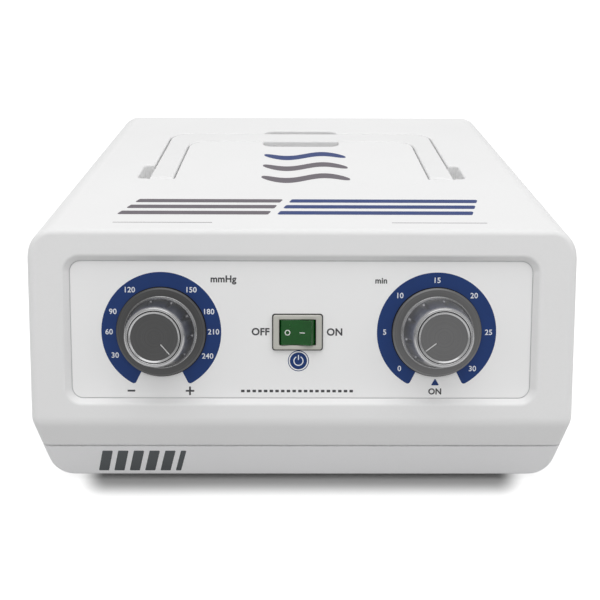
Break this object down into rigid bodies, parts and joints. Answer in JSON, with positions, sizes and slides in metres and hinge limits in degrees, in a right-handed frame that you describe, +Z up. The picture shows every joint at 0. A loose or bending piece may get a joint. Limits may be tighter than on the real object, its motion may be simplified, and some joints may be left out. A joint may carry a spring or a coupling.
{
  "type": "compression therapy pump",
  "caption": "Tabletop mains air pump for a compression sleeve, with a leaning panel, dials for pressure and time, a rocker switch, hose outlets and a folding handle.",
  "frame": {"origin": "on the ground under the middle of the case", "axes": "+X to the right seen from the front, +Y to the back, +Z up; the front with the dials faces -Y"},
  "size_m": [0.2364, 0.2456, 0.113],
  "materials": {
    "case_white": "fine moulded texture",
    "tray_grey": "fine moulded texture",
    "panel_grey": "satin printed film",
    "knob_metal": "turned, dark anodised with bright edges",
    "knob_cap_metal": "turned face, dark",
    "black_plastic": "moulded",
    "bezel_grey": "moulded",
    "rocker_green": "clear green, lit",
    "rubber_dark": "soft",
    "zinc_steel": "zinc plated",
    "brass": "plain",
    "copper_coil": "taped winding",
    "core_steel": "laminated, lacquered",
    "alloy_cast": "die cast",
    "magnet_grey": "nickel plated",
    "filter_felt": "felt",
    "ivory_plastic": "moulded",
    "hose_clear": "soft clear tube",
    "fuse_glass": "glass tube",
    "wire_sheath": "sheathed cable"
  },
  "bodies": {
    "case": {"top_case": "case_white", "bottom_tray": "tray_grey", "rubber_feet": "rubber_dark", "case_screws": "zinc_steel", "front_panel": "panel_grey", "panel_overlay": "panel_grey", "panel_screws": "zinc_steel", "handle_pins": "zinc_steel", "dial_nuts": "zinc_steel", "switch_body": "bezel_grey", "switch_terminals": "zinc_steel", "regulator_body": "alloy_cast", "regulator_spring": "zinc_steel", "regulator_diaphragm": "rubber_dark", "timer_body": "ivory_plastic", "timer_terminals": "zinc_steel", "compressor_frame": "alloy_cast", "compressor_mounts": "rubber_dark", "compressor_cores": "core_steel", "compressor_coils": "copper_coil", "compressor_diaphragms": "rubber_dark", "pump_heads": "alloy_cast", "head_screws": "zinc_steel", "intake_filters": "filter_felt", "air_tank": "tray_grey", "distributor_bracket": "zinc_steel", "distributor_motor": "brass", "distributor_cover": "ivory_plastic", "distributor_body": "ivory_plastic", "distributor_screws": "zinc_steel", "hose_manifold": "tray_grey", "chamber_hoses": "hose_clear", "air_hoses": "hose_clear", "inlet_body": "black_plastic", "inlet_pins": "brass", "terminal_block": "ivory_plastic", "mains_wiring": "wire_sheath"},
    "handle_arm": {"handle": "case_white"},
    "pressure_dial": {"pressure_knob": "knob_metal", "pressure_knob_core": "black_plastic", "pressure_knob_cap": "knob_cap_metal", "regulator_stem": "zinc_steel"},
    "timer_dial": {"timer_knob": "knob_metal", "timer_knob_core": "black_plastic", "timer_knob_cap": "knob_cap_metal", "timer_shaft": "zinc_steel"},
    "rocker": {"power_rocker": "rocker_green"},
    "plunger": {"regulator_plunger": "ivory_plastic"},
    "armature": {"compressor_armature": "magnet_grey"},
    "rotor": {"distributor_shaft": "zinc_steel", "distributor_rotor": "black_plastic"},
    "fuse_carrier": {"fuse_drawer": "black_plastic", "fuses": "fuse_glass"}
  },
  "joints": [
    {"name": "handle_fold", "type": "hinge", "parent": "case", "child": "handle_arm", "pos_m": [0, -0.01154, 0.109], "axis": [1, 0, 0], "range_deg": [0, 90]},
    {"name": "pressure_turn", "type": "hinge", "parent": "case", "child": "pressure_dial", "pos_m": [-0.0611, -0.10336, 0.07219], "axis": [0, 0.9317, -0.3633], "range_deg": [-278, 0]},
    {"name": "timer_turn", "type": "hinge", "parent": "case", "child": "timer_dial", "pos_m": [0.0581, -0.10336, 0.07219], "axis": [0, 0.9317, -0.3633], "range_deg": [-53, 262]},
    {"name": "rocker_tilt", "type": "hinge", "parent": "case", "child": "rocker", "pos_m": [-0.0022, -0.1001, 0.07092], "axis": [0, 0.3633, 0.9317], "range_deg": [0, 20]},
    {"name": "plunger_slide", "type": "slide", "parent": "case", "child": "plunger", "axis": [0, 0.9317, -0.3633], "range_m": [-0.0013, 0.0001], "deforming": ["regulator_spring"]},
    {"name": "armature_slide", "type": "slide", "parent": "case", "child": "armature", "axis": [1, 0, 0], "range_m": [-0.0015, 0.0015], "stiffness_N_per_m": 2000, "deforming": ["compressor_diaphragms"]},
    {"name": "rotor_spin", "type": "hinge", "parent": "case", "child": "rotor", "pos_m": [-0.04, 0.0583, 0.062], "axis": [0, 1, 0], "continuous": true},
    {"name": "fuse_drawer_slide", "type": "slide", "parent": "case", "child": "fuse_carrier", "axis": [0, 1, 0], "range_m": [0, 0.024]}
  ],
  "couplings": [
    {"joint": "plunger_slide", "follows": "pressure_turn", "m_per_rad": 0.00023873}
  ]
}
